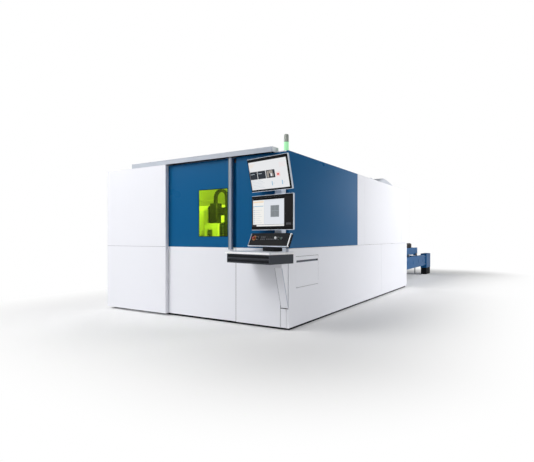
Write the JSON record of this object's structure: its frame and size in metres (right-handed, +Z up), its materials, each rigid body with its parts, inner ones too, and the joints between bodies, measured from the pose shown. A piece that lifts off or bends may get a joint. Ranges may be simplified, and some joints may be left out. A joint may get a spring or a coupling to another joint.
{
  "type": "fiber laser cutting machine",
  "caption": "Enclosed flatbed laser cutting machine with a sliding door, swivelling operator console, gantry cutting head and a two-level shuttle pallet changer.",
  "frame": {"origin": "middle of the footprint's bounding box, on the floor", "axes": "+X to the operator's right, +Y from the operator's door to the pallet changer, +Z up"},
  "size_m": [3.8478, 11.2335, 2.655],
  "materials": {
    "housing_white": "satin powder coat",
    "housing_blue": "satin powder coat",
    "trim_grey": "satin powder coat",
    "plinth_dark": "matt powder coat",
    "frame_grey": "matt powder coat",
    "cabinet_grey": "textured powder coat",
    "bed_grey": "matt machine enamel",
    "guide_steel": "ground",
    "belt_steel": "rolled, dusty",
    "safety_window": "clear laser-safety filter",
    "lamp_white": "opal diffuser",
    "tower_grey": "translucent",
    "lamp_green": "translucent, lit",
    "console_grey": "satin powder coat",
    "console_dark": "fine texture powder coat",
    "worktop_white": "laminate",
    "bezel_black": "moulded",
    "screen_glass": "lit display",
    "stop_red": "moulded",
    "knob_black": "moulded",
    "knob_white": "moulded",
    "key_green": "moulded",
    "gantry_white": "gloss machine enamel",
    "head_dark": "satin powder coat",
    "chain_black": "moulded polyamide",
    "head_metal": "anodised",
    "nozzle_copper": "turned",
    "changer_blue": "gloss machine enamel",
    "slat_steel": "hot rolled, slag marked",
    "interlock_red": "moulded"
  },
  "bodies": {
    "machine": {"base_plinth": "plinth_dark", "enclosure_frame": "frame_grey", "front_left_cover": "housing_white", "front_right_upper_panel": "housing_blue", "front_right_lower_panels": "housing_white", "right_wall_blue_panel": "housing_blue", "right_wall_white_panels": "housing_white", "left_wall_panels": "housing_white", "rear_wall": "housing_white", "roof_panels": "housing_white", "extraction_hood": "housing_white", "door_rail_cover": "trim_grey", "door_track": "guide_steel", "signal_tower": "tower_grey", "signal_lamp": "lamp_green", "machine_cabinets": "cabinet_grey", "chamber_partition": "frame_grey", "chamber_light": "lamp_white", "door_interlock": "interlock_red", "machine_bed": "bed_grey", "gantry_rails": "guide_steel", "pallet_rails": "guide_steel", "slag_conveyor": "belt_steel", "console_leg": "housing_white", "changer_base_beams": "changer_blue", "changer_end_posts": "changer_blue", "changer_feet": "plinth_dark", "lift_guides": "guide_steel"},
    "front_door": {"door_lower_skin": "housing_white", "door_upper_skin": "housing_blue", "door_window": "safety_window", "door_handle": "trim_grey", "door_hangers": "guide_steel"},
    "flap": {"service_flap": "housing_white"},
    "console": {"console_post": "console_grey", "console_shelf": "console_dark", "console_worktop": "worktop_white", "keypad_panel": "console_dark"},
    "keyboard_tray": {"keyboard_drawer": "console_dark"},
    "document_tray": {"document_drawer": "console_dark"},
    "stop_head": {"emergency_stop": "stop_red"},
    "feed_dial": {"feed_knob": "knob_black"},
    "mode_dial": {"mode_knob": "knob_white"},
    "start_key": {"start_button": "key_green"},
    "lower_display": {"lower_monitor": "bezel_black", "lower_screen": "screen_glass"},
    "upper_display": {"upper_monitor": "bezel_black", "upper_screen": "screen_glass"},
    "gantry": {"gantry_trucks": "bed_grey", "gantry_bridge": "gantry_white"},
    "carriage": {"head_carriage": "head_dark", "energy_chain": "chain_black"},
    "cutting_head": {"cutting_head": "head_dark", "lens_barrel": "head_metal", "cutting_nozzle": "nozzle_copper"},
    "inner_pallet": {"inner_pallet_frame": "changer_blue", "inner_pallet_slats": "slat_steel"},
    "lift": {"lift_frame": "changer_blue"},
    "outer_pallet": {"outer_pallet_frame": "changer_blue", "outer_pallet_slats": "slat_steel"}
  },
  "joints": [
    {"name": "door_slide", "type": "slide", "parent": "machine", "child": "front_door", "axis": [-1, 0, 0], "range_m": [0, 0.85]},
    {"name": "flap_hinge", "type": "hinge", "parent": "machine", "child": "flap", "pos_m": [1.68164, -4.43323, 0.56], "axis": [0, 1, 0], "range_deg": [0, 80]},
    {"name": "console_swivel", "type": "hinge", "parent": "machine", "child": "console", "pos_m": [1.60814, -5.06523, 0.925], "axis": [0, 0, 1], "range_deg": [0, 60]},
    {"name": "keyboard_tray_slide", "type": "slide", "parent": "console", "child": "keyboard_tray", "axis": [-0.2079, -0.9781, 0], "range_m": [0, 0.3]},
    {"name": "document_tray_slide", "type": "slide", "parent": "console", "child": "document_tray", "axis": [-0.2079, -0.9781, 0], "range_m": [0, 0.3]},
    {"name": "emergency_stop_press", "type": "slide", "parent": "console", "child": "stop_head", "axis": [0.1884, 0.8865, -0.4226], "range_m": [0, 0.0035], "stiffness_N_per_m": 1500},
    {"name": "feed_dial_turn", "type": "hinge", "parent": "console", "child": "feed_dial", "pos_m": [1.30109, -5.15345, 1.23494], "axis": [0.1884, 0.8865, -0.4226], "range_deg": [-135, 135]},
    {"name": "mode_dial_turn", "type": "hinge", "parent": "console", "child": "mode_dial", "pos_m": [1.63562, -5.22456, 1.23494], "axis": [0.1884, 0.8865, -0.4226], "range_deg": [-90, 90]},
    {"name": "start_key_press", "type": "slide", "parent": "console", "child": "start_key", "axis": [0.1884, 0.8865, -0.4226], "range_m": [0, 0.0035], "stiffness_N_per_m": 600},
    {"name": "lower_display_tilt", "type": "hinge", "parent": "console", "child": "lower_display", "pos_m": [1.59671, -5.11903, 1.362], "axis": [0.9781, -0.2079, 0], "range_deg": [0, 12]},
    {"name": "upper_display_tilt", "type": "hinge", "parent": "console", "child": "upper_display", "pos_m": [1.59692, -5.11805, 1.886], "axis": [0.9781, -0.2079, 0], "range_deg": [-12, 6]},
    {"name": "gantry_travel", "type": "slide", "parent": "machine", "child": "gantry", "axis": [0, 1, 0], "range_m": [0, 4.15]},
    {"name": "carriage_travel", "type": "slide", "parent": "gantry", "child": "carriage", "axis": [1, 0, 0], "range_m": [-0.146, 1.354]},
    {"name": "head_lift", "type": "slide", "parent": "carriage", "child": "cutting_head", "axis": [0, 0, -1], "range_m": [0, 0.115], "deforming": ["energy_chain"]},
    {"name": "inner_pallet_travel", "type": "slide", "parent": "machine", "child": "inner_pallet", "axis": [0, 1, 0], "range_m": [0, 4.3]},
    {"name": "pallet_lift", "type": "slide", "parent": "machine", "child": "lift", "axis": [0, 0, -1], "range_m": [0, 0.25]},
    {"name": "outer_pallet_travel", "type": "slide", "parent": "lift", "child": "outer_pallet", "axis": [0, -1, 0], "range_m": [0, 4.3]}
  ]
}
